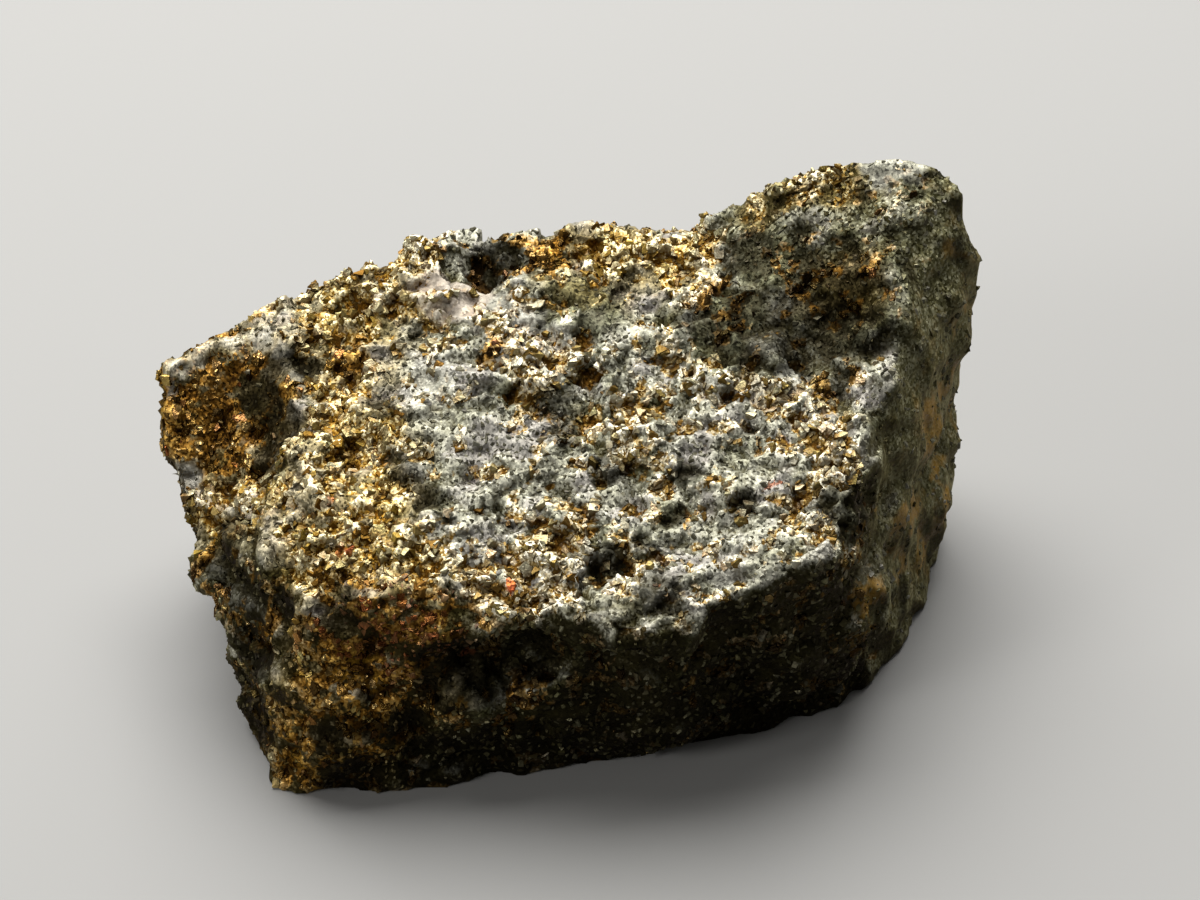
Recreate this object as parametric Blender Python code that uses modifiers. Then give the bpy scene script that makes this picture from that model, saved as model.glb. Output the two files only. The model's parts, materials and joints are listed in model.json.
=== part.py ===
"""A hand-sized lump of massive ore, pyrite grown together with magnetite, broken off on all sides.

The lump is one solid. It is built as it broke: convex blocks for its masses, joined, then hollowed by
conchoidal scoops, roughened into lumps and chips, and cut flat where it rests.
Places and sizes are in millimetres. +X is to the right, +Y to the back and +Z up, and the origin is on
the resting face, under the middle of the lump's box.
"""

import math

import bmesh
import bpy
from mathutils import Euler, Matrix, Vector

MM = 0.001

NAME = "pyrite_magnetite_lump"

# The blocks reach this far below the resting face, which is cut flat at Z = 0.
SINK = 1.0

# The corners of each convex mass, by where they are.
BLOCKS = {
    "main_block": [
        # rear crest of the top face, left to right
        (-25.0, 3.2, 17.6),
        (-20.0, 6.0, 19.5),
        (-15.0, 8.0, 20.6),
        (-8.0, 10.5, 21.9),
        (4.5, 12.0, 21.5),
        (8.5, 12.5, 21.2),
        # front lip of the top face, left to right
        (-15.3, -15.8, 14.0),
        (-3.8, -16.3, 14.4),
        (4.6, -17.2, 14.0),
        (11.9, -15.1, 15.0),
        (16.2, -13.7, 16.0),
        # right ridge, front to back
        (17.0, -8.2, 17.5),
        (19.5, -2.9, 19.3),
        (21.5, 6.4, 21.5),
        (26.1, 9.5, 18.5),
        # front corner ridge, then the foot round to the right
        (-15.2, -18.2, 2.0),
        (-18.3, -17.0, -SINK),
        (-10.3, -16.9, -SINK),
        (2.1, -14.9, -SINK),
        (15.3, -10.6, -SINK),
        (19.8, -6.6, -SINK),
        (23.3, 1.3, -SINK),
        (24.6, 7.3, -SINK),
        # back face and its foot, right to left
        (21.0, 15.0, 6.0),
        (8.0, 16.5, 10.0),
        (-8.0, 15.0, 12.0),
        (-18.0, 10.5, 9.0),
        (20.0, 11.0, -SINK),
        (0.0, 12.0, -SINK),
        (-16.0, 7.0, -SINK),
        # left end
        (-25.4, 1.0, 15.0),
        (-25.0, -3.0, 12.8),
        (-21.5, -9.0, 8.5),
        (-19.6, -10.5, 1.0),
        (-23.6, 5.0, 6.0),
        (-21.0, 3.5, -SINK),
        (-19.8, -4.0, -SINK),
    ],
    "horn_block": [
        # crest
        (8.0, 12.5, 21.3),
        (12.1, 12.5, 24.9),
        (18.1, 12.0, 26.5),
        (20.0, 12.0, 27.3),
        (23.4, 11.0, 27.2),
        (25.5, 10.0, 26.0),
        (26.2, 9.3, 21.5),
        # rim of the slope, where the horn meets the top face
        (7.9, 4.1, 18.8),
        (9.4, 0.1, 18.0),
        (14.7, -2.0, 17.3),
        (19.9, -1.1, 19.2),
        (21.2, 5.5, 24.0),
        # inside the main block and down its back
        (23.0, 13.4, 8.0),
        (12.0, 15.0, 8.0),
        (22.0, 2.0, 6.0),
        (10.0, 6.0, 10.0),
    ],
}

# Ellipsoids: centre, radii, and turn in degrees about X, Y and Z.
BUMPS = {
    "crest_bump": ((-6.8, 8.6, 20.3), (5.2, 3.0, 2.0), (0, 0, 14)),
    "plateau": ((-9.0, -1.0, 16.0), (6.0, 7.5, 2.4), (14, 0, -20)),
    "lip_lobe": ((5.0, -15.6, 13.2), (3.8, 2.8, 2.0), (10, 0, 0)),
    "front_block": ((3.6, -14.4, 7.0), (6.4, 2.3, 6.6), (0, 0, 6)),
    "right_belly": ((14.5, -8.5, 7.5), (6.0, 4.2, 7.0), (0, 0, 30)),
}
SCOOPS = {
    "left_end_scoop": ((-22.2, -3.2, 19.4), (6.2, 9.0, 6.2), (36, 8, -8)),
    "left_recess": ((-24.0, -7.1, 11.2), (5.2, 2.8, 1.8), (0, 8, -55)),
    "left_notch": ((-25.6, -8.4, 5.0), (4.9, 8.5, 4.6), (0, 0, 30)),
    "left_flank_hollow": ((-23.6, -16.4, 5.0), (3.6, 4.0, 4.6), (0, 0, 20)),
    "top_right_hollow": ((14.4, 1.8, 27.6), (8.6, 9.0, 7.0), (40, 6, 0)),
    "gold_channel": ((-14.6, -3.0, 19.5), (2.6, 9.0, 2.6), (8, 0, 12)),
    "crest_notch": ((-1.6, 12.8, 23.0), (2.8, 4.0, 2.1), (0, 0, 0)),
    "crest_hollow": ((-4.4, 8.3, 22.0), (3.6, 2.0, 2.0), (0, 0, 8)),
    "saddle": ((7.2, 13.0, 24.2), (2.4, 4.0, 2.4), (0, 0, 0)),
    "front_hollow": ((-3.5, -18.8, 10.0), (4.8, 3.9, 3.2), (0, -8, 0)),
    "front_gully": ((-8.8, -18.9, 7.2), (1.8, 2.8, 4.0), (0, 25, 0)),
    "front_corner_hollow": ((-11.6, -20.0, 11.2), (3.6, 4.0, 3.0), (0, 0, 0)),
    "front_foot_chip": ((-6.0, -19.7, 2.4), (6.0, 3.6, 2.6), (0, 0, 8)),
    "right_undercut": ((16.0, -17.0, 1.5), (9.0, 5.2, 5.5), (0, 0, 32)),
    "right_face_hollow": ((28.4, -2.5, 9.0), (5.8, 7.5, 7.5), (0, 0, 20)),
    "back_scoop": ((-2.0, 21.0, 13.0), (9.0, 6.6, 8.0), (0, 0, 0)),
    "back_left_scoop": ((-20.0, 14.5, 12.5), (7.0, 5.4, 6.5), (0, 0, 30)),
    "back_right_scoop": ((15.0, 20.0, 5.0), (8.0, 6.0, 5.5), (0, 0, -10)),
    "left_underside": ((-27.0, 2.0, 5.0), (4.6, 7.0, 4.4), (0, 10, 0)),
}

# Roughness of the broken surface: texture type, size of its features, and height from pit to peak.
# A negative height turns the cells of a Voronoi texture into lumps with grooves between them.
ROUGHNESS = {
    "swells": ("CLOUDS", 7.0, 1.3),
    "blocky_lumps": ("VORONOI", 3.6, -1.5),
    "chips": ("VORONOI", 1.9, -0.8),
    "grit": ("CLOUDS", 1.2, 0.35),
}

# The ore is faintly banded from left to right: its lumps are drawn out along a tilted line.
BAND_STRETCH = 1.15
BAND_TURN = (25, -14, 12)

# The size of the even mesh that is roughened, and how many triangles are kept of it before it is cut.
MESH_CELL = 0.45
TRIANGLES = 9000

# The block that cuts the resting face, wider than the lump.
TABLE = (80.0, 60.0, 10.0)

# The ore's average look: brass-coloured and dark grey metal grains in a dull dark ground.
ORE_COLOUR = (0.17, 0.145, 0.10)
ORE_METALLIC = 0.6
ORE_ROUGHNESS = 0.45


def clear_scene():
    for thing in list(bpy.data.objects):
        bpy.data.objects.remove(thing, do_unlink=True)


def collection(name):
    made = bpy.data.collections.new(name)
    bpy.context.scene.collection.children.link(made)
    return made


def add_object(name, bm, where):
    mesh = bpy.data.meshes.new(name)
    bm.to_mesh(mesh)
    bm.free()
    made = bpy.data.objects.new(name, mesh)
    where.objects.link(made)
    return made


def convex_block(name, corners, where):
    """The convex solid with these corners."""
    bm = bmesh.new()
    for corner in corners:
        bm.verts.new(Vector(corner) * MM)
    hull = bmesh.ops.convex_hull(bm, input=bm.verts)
    inside = [v for v in hull["geom_interior"] if isinstance(v, bmesh.types.BMVert)]
    bmesh.ops.delete(bm, geom=inside, context="VERTS")
    return add_object(name, bm, where)


def ellipsoid(name, centre, radii, turn, where):
    bm = bmesh.new()
    bmesh.ops.create_icosphere(bm, subdivisions=4, radius=1.0)
    size = Matrix.Diagonal(Vector(radii) * MM).to_4x4()
    spin = Euler([math.radians(a) for a in turn]).to_matrix().to_4x4()
    place = Matrix.Translation(Vector(centre) * MM)
    bmesh.ops.transform(bm, matrix=place @ spin @ size, verts=bm.verts)
    return add_object(name, bm, where)


def table(where):
    """The block under the resting face that cuts it flat."""
    bm = bmesh.new()
    bmesh.ops.create_cube(bm, size=1.0)
    size = Matrix.Diagonal(Vector(TABLE) * MM).to_4x4()
    place = Matrix.Translation(Vector((0.0, 0.0, -TABLE[2] / 2)) * MM)
    bmesh.ops.transform(bm, matrix=place @ size, verts=bm.verts)
    return add_object("table", bm, where)


def centre(thing):
    """Bakes the modifiers and moves the mesh so that the middle of its box is over the origin."""
    graph = bpy.context.evaluated_depsgraph_get()
    mesh = bpy.data.meshes.new_from_object(thing.evaluated_get(graph))
    thing.modifiers.clear()
    thing.data = mesh
    xs = [v.co.x for v in mesh.vertices]
    ys = [v.co.y for v in mesh.vertices]
    middle = Vector((min(xs) + max(xs), min(ys) + max(ys), 0.0)) / 2
    mesh.transform(Matrix.Translation(-middle))


def ore():
    material = bpy.data.materials.new("pyrite and magnetite ore")
    material.use_nodes = True
    shader = material.node_tree.nodes["Principled BSDF"]
    shader.inputs["Base Color"].default_value = (*ORE_COLOUR, 1.0)
    shader.inputs["Metallic"].default_value = ORE_METALLIC
    shader.inputs["Roughness"].default_value = ORE_ROUGHNESS
    return material


def as_helper(thing):
    thing.hide_render = True
    thing.display_type = "WIRE"
    return thing


def boolean(thing, other, operation):
    modifier = thing.modifiers.new(other.name, "BOOLEAN")
    modifier.solver = "EXACT"
    modifier.operation = operation
    modifier.object = other


def banding(where):
    """An empty with its X along the ore's banding. The roughness is drawn in its coordinates."""
    grain = bpy.data.objects.new("banding", None)
    grain.rotation_euler = [math.radians(a) for a in BAND_TURN]
    grain.scale = (BAND_STRETCH, 1.0, 1.0)
    where.objects.link(grain)
    return grain


def roughen(thing, grain, name, kind, size, height):
    texture = bpy.data.textures.new(name, kind)
    texture.noise_scale = size * MM
    if kind == "VORONOI":
        texture.distance_metric = "CHEBYCHEV"  # cells with square sides, as cubes of pyrite have
    modifier = thing.modifiers.new(name, "DISPLACE")
    modifier.texture = texture
    modifier.texture_coords = "OBJECT"
    modifier.texture_coords_object = grain
    modifier.strength = height * MM
    modifier.mid_level = 0.5


def main():
    clear_scene()
    parts = collection("pyrite with magnetite")
    helpers = collection("cutters")
    lump = convex_block(NAME, BLOCKS["main_block"], parts)
    horn = as_helper(convex_block("horn_block", BLOCKS["horn_block"], helpers))
    boolean(lump, horn, "UNION")
    for name, form in BUMPS.items():
        boolean(lump, as_helper(ellipsoid(name, *form, helpers)), "UNION")
    for name, form in SCOOPS.items():
        boolean(lump, as_helper(ellipsoid(name, *form, helpers)), "DIFFERENCE")
    cells = lump.modifiers.new("even mesh", "REMESH")
    cells.mode = "VOXEL"
    cells.voxel_size = MESH_CELL * MM
    grain = banding(helpers)
    for name, form in ROUGHNESS.items():
        roughen(lump, grain, name, *form)
    graph = bpy.context.evaluated_depsgraph_get()
    faces = len(lump.evaluated_get(graph).data.polygons)
    thin = lump.modifiers.new("facets", "DECIMATE")
    thin.ratio = TRIANGLES / (2 * faces)
    boolean(lump, as_helper(table(helpers)), "DIFFERENCE")
    centre(lump)
    lump.data.materials.clear()
    lump.data.materials.append(ore())


main()
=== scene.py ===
import json
import math
import random

import bpy
import numpy as np
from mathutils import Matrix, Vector, noise

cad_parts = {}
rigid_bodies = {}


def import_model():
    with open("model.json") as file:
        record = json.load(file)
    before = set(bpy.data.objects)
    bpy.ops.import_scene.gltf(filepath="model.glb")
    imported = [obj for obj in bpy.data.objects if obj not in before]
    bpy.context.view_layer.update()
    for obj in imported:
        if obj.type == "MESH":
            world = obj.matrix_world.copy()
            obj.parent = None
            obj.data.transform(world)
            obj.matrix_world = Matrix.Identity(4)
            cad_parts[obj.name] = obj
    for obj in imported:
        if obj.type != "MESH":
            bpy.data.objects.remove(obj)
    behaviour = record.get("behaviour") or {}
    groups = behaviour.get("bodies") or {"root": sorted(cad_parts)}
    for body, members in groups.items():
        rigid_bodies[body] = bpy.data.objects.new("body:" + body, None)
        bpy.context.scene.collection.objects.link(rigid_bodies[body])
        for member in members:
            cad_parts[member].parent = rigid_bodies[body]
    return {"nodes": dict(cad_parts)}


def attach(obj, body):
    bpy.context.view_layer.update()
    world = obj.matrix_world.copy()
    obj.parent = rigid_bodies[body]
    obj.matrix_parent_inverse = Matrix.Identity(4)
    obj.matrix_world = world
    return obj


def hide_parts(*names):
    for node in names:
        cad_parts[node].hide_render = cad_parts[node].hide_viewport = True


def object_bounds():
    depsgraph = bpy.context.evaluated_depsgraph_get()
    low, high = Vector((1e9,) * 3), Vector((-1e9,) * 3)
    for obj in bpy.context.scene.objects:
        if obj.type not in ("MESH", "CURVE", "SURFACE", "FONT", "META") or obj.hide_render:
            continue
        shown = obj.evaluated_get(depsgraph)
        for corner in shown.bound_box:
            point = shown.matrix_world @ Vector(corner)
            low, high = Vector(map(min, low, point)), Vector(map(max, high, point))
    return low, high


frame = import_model()
cad_box = [list(corner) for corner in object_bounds()]

# The lump: one piece of vein ore, iron-black magnetite grown through with pyrite and a little
# green-black chlorite. It was broken out with a hammer and never cut or polished, so each side
# is a fracture full of small blocky steps.
MM = 0.001
SAME_POINT = 0.001 * MM
SKIN_STEP = 0.27 * MM

bpy.ops.object.select_all(action="DESELECT")
cad_lump = frame["nodes"]["pyrite_magnetite_lump"]
lump = bpy.data.objects.new("ore_lump", cad_lump.data.copy())
bpy.context.scene.collection.objects.link(lump)
lump.data.materials.clear()
lump.select_set(True)
bpy.context.view_layer.objects.active = lump
bpy.ops.object.mode_set(mode="EDIT")
bpy.ops.mesh.select_all(action="SELECT")
bpy.ops.mesh.remove_doubles(threshold=SAME_POINT)
bpy.ops.object.mode_set(mode="OBJECT")


def modify(thing, kind, **settings):
    """Adds one modifier with these settings and applies it at once."""
    modifier = thing.modifiers.new(kind.lower(), kind)
    for name, value in settings.items():
        setattr(modifier, name, value)
    bpy.ops.object.modifier_apply(modifier=modifier.name)


modify(lump, "REMESH", mode="VOXEL", voxel_size=SKIN_STEP, use_smooth_shade=True)
modify(lump, "SMOOTH", factor=0.5, iterations=2)
skin = np.empty(len(lump.data.vertices) * 3, np.float32)
lump.data.vertices.foreach_get("co", skin)
skin = skin.reshape(-1, 3)
facing = np.empty(len(skin) * 3, np.float32)
lump.data.vertex_normals.foreach_get("vector", facing)
facing = facing.reshape(-1, 3)

# Where each mineral lies in the lump, as (x, y, z, reach) in mm from the centre of the base.
# Fresh pyrite fills a channel down the left of the top and patches across it.
PYRITE = [
    (-13.9, 7.5, 20.0, 3.2), (-15.0, 2.8, 18.1, 3.0), (-13.9, -2.8, 17.1, 3.2),
    (-14.0, -8.0, 16.6, 3.2), (-13.6, -12.1, 15.3, 2.6), (-15.2, -13.2, 14.2, 1.2),
    (-10.8, 9.5, 21.3, 2.6), (-3.1, 3.4, 20.0, 2.8), (-0.5, 2.3, 20.1, 2.2), (2.6, 9.3, 21.8, 2.4),
    (5.8, 9.8, 21.9, 2.0), (4.4, -0.9, 18.7, 2.0), (2.0, -3.9, 18.0, 2.0), (5.7, -5.6, 17.8, 2.3),
    (10.0, -0.2, 19.7, 2.0), (11.9, -1.6, 19.3, 1.9), (15.0, -0.4, 19.5, 1.9), (15.5, -4.3, 18.3, 2.0),
    (16.1, -6.6, 17.8, 1.7), (14.8, -9.3, 16.9, 2.0), (-0.5, -11.0, 16.0, 2.8),
    (-4.1, -13.1, 15.4, 2.3), (-1.7, -13.7, 15.1, 2.2), (5.0, -9.9, 16.6, 1.6), (4.4, -13.1, 15.4, 1.9),
    (-20.5, -4.1, 13.3, 2.6), (-16.6, -16.8, 3.0, 1.5), (13.0, 11.9, 24.9, 1.1),
    (15.0, 12.3, 25.7, 1.0), (16.8, 12.3, 26.1, 0.8), (-9.5, -6.0, 17.0, 1.6), (-8.8, -11.5, 16.0, 2.0),
    (-7.5, 5.0, 20.2, 2.0), (-20.3, -10.9, 7.8, 1.2), (8.0, 6.9, 21.6, 1.6), (-22.7, -2.7, 12.3, 1.3),
    (-21.2, -3.5, 12.7, 1.3), (-19.8, -4.4, 13.4, 1.3), (8.2, -12.4, 15.9, 1.2),
    (12.8, -12.2, 16.1, 1.3), (6.6, -8.4, 17.2, 1.1), (-4.6, -6.2, 17.2, 1.0), (-6.6, 0.6, 18.9, 1.0),
    (0.6, 1.0, 19.4, 1.2), (7.8, 1.0, 19.9, 1.2), (-13.2, -16.3, 9.1, 1.0), (-14.6, -16.4, 8.8, 0.9),
    (-11.6, -16.3, 8.4, 0.9), (-15.7, -17.2, 3.9, 0.9), (-17.9, -15.9, 2.6, 1.2),
    (-9.9, -16.5, 4.2, 0.7), (-20.4, -11.8, 5.4, 0.7), (-12.7, -16.2, 9.2, 1.7),
    (-2.9, -16.1, 7.4, 1.0), (17.1, 11.6, 25.6, 1.1), (12.1, 13.0, 24.6, 1.2),
]
# Pyrite gone brown: the scoop at the left end, the front left, and the hollow of the horn.
TARNISHED = [
    (-21.1, 2.4, 16.0, 4.8), (-18.8, -0.2, 14.9, 2.6), (-13.2, -14.9, 12.9, 2.6),
    (-11.5, -15.6, 10.2, 3.2), (-13.3, -16.6, 8.2, 2.8), (12.0, 3.6, 20.6, 2.2), (9.5, 5.8, 21.4, 1.6),
    (17.7, 6.0, 22.0, 1.9), (-4.4, 10.9, 20.9, 2.0), (-1.5, 10.2, 21.9, 1.6), (-4.9, 2.9, 20.4, 1.0),
    (-16.6, -16.8, 3.0, 2.4), (-8.3, -15.6, 13.5, 1.8), (-4.2, -16.2, 6.2, 2.0),
    (-8.4, -15.9, 8.0, 2.2), (-6.0, -15.2, 12.2, 1.8), (-2.3, -16.1, 7.4, 1.6),
    (-11.5, -16.8, 5.5, 2.0), (-21.6, -7.6, 11.0, 2.4), (-13.9, 3.6, 18.3, 1.3),
    (-10.8, -15.6, 13.5, 1.6), (-6.0, -16.7, 8.0, 1.6), (-13.6, -15.7, 11.4, 2.2),
    (14.0, 6.0, 22.4, 2.6), (-19.5, -11.2, 10.2, 2.2), (-13.8, -14.7, 13.4, 1.3),
    (16.6, 0.5, 19.5, 1.2), (6.6, -9.4, 16.4, 0.9), (19.2, 5.6, 23.6, 1.3), (10.8, 5.3, 20.9, 1.4),
    (16.0, 7.6, 23.0, 1.2),
]
# Iron-grey magnetite, between the patches of pyrite and along the rims.
MAGNETITE = [
    (-8.7, 0.7, 19.0, 3.4), (-7.3, -2.8, 17.9, 3.2), (-4.2, -4.4, 17.6, 3.2), (-0.5, -6.6, 17.0, 2.6),
    (8.1, -3.5, 18.4, 2.2), (11.8, -3.7, 18.6, 2.0), (9.3, -7.5, 17.7, 2.8), (-5.4, -8.3, 16.8, 2.8),
    (8.0, -14.1, 15.4, 2.2), (10.5, -12.4, 16.0, 2.8), (6.8, -11.2, 16.1, 1.6), (3.2, -8.3, 16.8, 1.8),
    (4.5, 2.3, 20.1, 2.4), (3.2, 4.8, 20.5, 2.2), (20.3, 12.3, 27.1, 1.6), (22.1, 10.6, 26.4, 1.2),
    (-6.9, 10.9, 22.2, 1.8), (-21.1, 5.6, 18.7, 1.5), (-19.6, 6.5, 19.6, 1.7), (-17.6, 6.5, 20.0, 1.7),
    (19.4, 1.7, 20.5, 0.8), (18.1, -1.6, 19.2, 0.9), (-10.5, 4.0, 19.8, 1.6), (-17.2, -9.0, 14.5, 1.2),
    (12.2, -8.3, 17.4, 1.7), (-16.9, 3.5, 18.3, 1.1), (-16.4, 0.4, 17.6, 0.9), (-16.1, -4.4, 17.6, 0.9),
    (-16.4, -7.7, 16.3, 1.0), (-15.6, -14.4, 13.6, 0.6), (-15.6, -15.2, 11.5, 0.5),
    (-19.0, -12.6, 6.0, 1.6), (-24.5, -1.4, 12.6, 0.9), (-22.0, -7.4, 10.6, 0.9),
    (-23.3, 4.6, 18.3, 0.9), (-21.4, 5.1, 18.6, 0.9), (-19.5, 4.8, 19.3, 0.9), (-17.9, 3.8, 18.9, 0.9),
    (18.6, -1.5, 19.2, 0.9), (19.5, 0.4, 20.5, 1.0), (20.2, 2.4, 21.6, 1.0), (20.7, 4.6, 23.1, 0.9),
    (21.1, 7.1, 24.3, 0.9), (21.8, 9.0, 25.6, 0.9), (-24.8, 3.8, 17.6, 1.1), (4.5, 7.0, 21.0, 1.3),
    (15.8, 9.3, 24.2, 1.1), (13.2, 10.2, 23.6, 0.9), (18.6, 8.6, 24.6, 1.0), (10.4, 7.2, 21.7, 1.0),
]
# Hollows and gullies, and the shaded feet of the front left: painted shade, darkening ore that is partly
# dark of its own.
DARK = [
    (-1.2, 5.0, 20.8, 0.8), (10.8, 5.3, 20.9, 1.3), (11.2, 9.2, 22.4, 1.5), (14.5, 5.0, 21.5, 2.6),
    (8.4, 3.7, 20.8, 1.3), (10.9, 2.2, 20.4, 1.4), (13.6, 2.0, 20.5, 1.7), (16.4, 3.0, 20.2, 1.7),
    (18.7, 2.6, 21.4, 1.5), (17.6, 6.4, 22.6, 1.3), (15.0, 9.4, 23.6, 0.9), (16.9, 0.4, 19.5, 0.7),
    (19.3, 5.6, 23.6, 1.0), (6.6, -9.4, 16.4, 0.6), (-14.6, -17.2, 5.1, 1.2), (-6.0, -14.3, 9.9, 2.8),
    (-2.9, -14.2, 10.2, 2.1), (-7.8, -16.1, 8.6, 1.6), (-21.6, -7.1, 12.2, 2.0),
    (-19.7, -11.8, 7.6, 1.6), (-17.4, 3.4, 17.4, 1.5), (17.2, -8.7, 16.2, 1.8),
    (-11.5, -1.0, 17.6, 1.0), (-10.1, -5.9, 16.8, 0.8), (-8.8, -7.4, 16.5, 0.9),
    (-7.2, -9.2, 16.6, 0.8), (-0.2, -2.9, 17.9, 0.8), (2.0, -6.3, 17.5, 0.8), (-0.5, -0.8, 18.6, 0.8),
    (7.5, -6.5, 17.7, 0.9), (10.5, -8.8, 17.3, 0.9), (4.4, -11.4, 16.3, 0.7), (-18.1, -0.3, 16.6, 1.5),
    (-19.5, 1.9, 16.4, 1.2), (-18.7, -1.8, 15.0, 1.3), (5.6, -15.0, 15.5, 1.3), (2.0, -12.0, 15.2, 1.0),
    (-4.6, 10.9, 20.7, 1.2), (-12.1, -17.0, 5.9, 0.9), (-10.3, -16.5, 5.6, 1.1),
    (-8.4, -15.8, 10.5, 1.2), (-13.8, -14.9, 13.3, 1.1), (-19.3, -12.9, 3.0, 1.6),
    (-20.7, -10.6, 2.6, 1.8), (-13.2, -16.9, 1.6, 2.0), (-8.0, -16.2, 2.4, 2.4),
    (-4.0, -16.0, 2.6, 2.6), (-20.6, -9.8, 10.8, 1.0), (-19.0, -11.0, 11.1, 1.1),
    (-17.3, -13.2, 12.2, 0.9),
]
# Under the front lip, at the left: painted shade, with a dull brown-red film.
DUSKY = [(-10.6, -15.7, 12.8, 2.4), (-7.6, -15.8, 13.0, 1.6), (-13.4, -15.0, 12.6, 1.4)]
# Where the pyrite is of the deeper gold.
GOLDEN = [
    (-13.9, 7.5, 20.0, 4.0), (-15.0, 2.8, 18.1, 3.6), (-13.9, -2.8, 17.1, 3.6),
    (-14.0, -8.0, 16.6, 3.6), (-13.6, -12.1, 15.3, 3.2), (-21.1, 2.4, 16.0, 5.5),
    (-20.5, -4.1, 13.3, 3.2), (-18.4, -7.2, 16.1, 1.8), (2.6, 9.3, 21.8, 3.0), (5.8, 9.8, 21.9, 2.2),
    (-12.0, -15.2, 10.6, 4.5), (-16.6, -16.8, 3.0, 4.5), (12.8, 12.6, 24.9, 1.6),
    (17.0, 11.8, 25.7, 1.4), (17.5, 5.6, 22.6, 2.0),
]
# Green ground, in the middle of the top and around the hollow of the horn.
CHLORITE = [
    (0.7, 5.7, 21.0, 2.1), (10.4, 4.8, 21.0, 1.6), (12.6, 8.0, 22.6, 1.6), (17.2, 3.6, 21.0, 1.6),
    (20.4, 7.2, 24.6, 1.2), (9.3, 2.4, 20.2, 1.4),
]
# Pale rims and ridges: pale grey ore, partly painted highlight where the edges catch the light.
LIGHT = [
    (4.5, 4.0, 20.4, 0.8), (-25.4, 2.8, 16.8, 0.6), (-24.8, 3.8, 17.6, 0.7), (-23.3, 4.6, 18.3, 0.6),
    (-21.4, 5.1, 18.6, 0.7), (-19.5, 4.8, 19.3, 0.7), (-17.9, 3.8, 18.9, 0.6), (-16.9, 1.9, 18.0, 0.4),
    (-16.1, -1.7, 17.7, 0.6), (-15.9, -5.8, 17.1, 0.5), (18.2, 0.3, 20.2, 0.3), (13.8, -0.1, 19.7, 0.9),
    (11.3, -0.8, 19.6, 0.9), (8.8, -0.9, 19.3, 0.9), (19.7, 12.6, 27.2, 1.3), (21.4, 12.1, 27.2, 1.0),
    (-4.0, 6.1, 20.7, 0.9), (-3.1, 5.2, 20.6, 0.9), (-2.1, 4.4, 20.3, 0.9), (-1.3, 3.2, 20.1, 0.9),
    (-8.7, 0.9, 19.2, 1.6), (-24.5, -1.4, 12.6, 0.9), (9.6, -13.4, 15.8, 0.9), (-7.6, 12.3, 21.8, 0.4),
    (-22.0, -7.4, 10.6, 0.4), (-22.8, -2.7, 12.3, 0.8), (-21.2, -3.5, 12.7, 0.8),
    (-19.9, -4.4, 13.4, 0.8),
]
# Crumbs of pale quartz.
GANGUE = [(-8.1, 6.9, 21.3, 1.7), (-6.3, 6.7, 20.7, 1.3), (-12.6, 7.8, 20.5, 0.5)]
# Rust, over the right side and in two spots on the front left.
OCHRE = [
    (22.9, 2.3, 13.6, 1.2), (23.9, 5.8, 15.5, 0.9), (23.9, 4.2, 7.8, 1.1), (22.0, -0.2, 9.4, 1.2),
    (21.2, -3.1, 10.7, 0.7), (25.1, 9.7, 10.4, 1.0), (23.0, 2.2, 4.4, 1.0), (24.0, 4.6, 5.4, 0.9),
    (21.0, -2.5, 6.8, 0.8), (18.6, -9.4, 10.3, 0.9), (24.4, 8.7, 23.1, 0.5), (24.6, 7.9, 18.5, 0.6),
    (-12.8, -16.3, 9.2, 1.0), (-16.8, -16.8, 3.0, 0.5),
]
# Specks of pyrite with a red film.
RED_FILM = [
    (-3.5, -14.4, 14.9, 0.25), (-6.3, -14.5, 9.5, 0.25), (-13.6, -10.9, 15.5, 0.3),
    (-14.2, -11.7, 15.3, 0.25), (-14.2, -8.3, 16.3, 0.25), (12.5, -7.9, 17.4, 0.3),
    (5.4, -14.2, 15.6, 0.25),
]
# The scoop broken out of the left end.
SCOOP = [(-21.1, 2.4, 16.0, 4.4)]

# The patches waver at their edges. Loose veins of pyrite some 5 mm apart run through the ore,
# with stains of about 5 mm, tints of about 2 mm and specks of about 1 mm over it.
WAVER = 0.75
SEED = 11
noise.seed_set(SEED)
places = skin / MM
waver = np.array([
    noise.noise_vector(Vector(place) * 0.45) + 0.6 * noise.noise_vector(Vector(place) * 1.25)
    for place in places
])
veining = np.array([
    noise.fractal(Vector((x * 0.17, y * 0.22 + z * 0.05, z * 0.24)) + Vector((7.3, 2.1, 4.4)),
                  0.9, 2.1, 4)
    for x, y, z in places
])
staining = np.array([
    noise.noise(Vector(place) * 0.21 + Vector((31.0, 8.0, 3.0))) for place in places
])
tinting = np.array([
    noise.fractal(Vector(place) * 0.42 + Vector((5.0, 17.0, 2.0)), 0.8, 2.1, 3) for place in places
])
speckle = np.array([noise.fractal(Vector(place) * 0.75, 0.9, 2.1, 3) for place in places])


def patches(centres, edge):
    """How far each point of the skin lies inside the nearest of these patches, from 0 to 1."""
    inside = np.zeros(len(places))
    for x, y, z, reach in centres:
        away = np.linalg.norm(places + WAVER * waver - (x, y, z), axis=1)
        inside = np.maximum(inside, np.clip((1.0 + edge - away / reach) / edge, 0.0, 1.0))
    return inside


def rise(value, start, end):
    """A smooth step from 0 at start to 1 at end."""
    part = np.clip((value - start) / (end - start), 0.0, 1.0)
    return part * part * (3.0 - 2.0 * part)


# The sides of the lump, from 0 off each to 1 on it, by place in mm and by facing.
right_side = rise(places[:, 0] + 4.0 * facing[:, 0], 21.0, 24.0)
horn = rise(places[:, 2], 21.3, 22.8) * rise(places[:, 0], 8.5, 11.5)
top = rise(facing[:, 2], 0.1, 0.6)
back = rise(facing[:, 1] - 0.5 * facing[:, 2], 0.1, 0.5)
front = rise(-facing[:, 1] - 0.3 * facing[:, 2], 0.2, 0.7) * rise(places[:, 0], -6.0, 1.0)
low = rise(-places[:, 2], -12.0, -3.0)
scoop = patches(SCOOP, 0.4)
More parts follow.
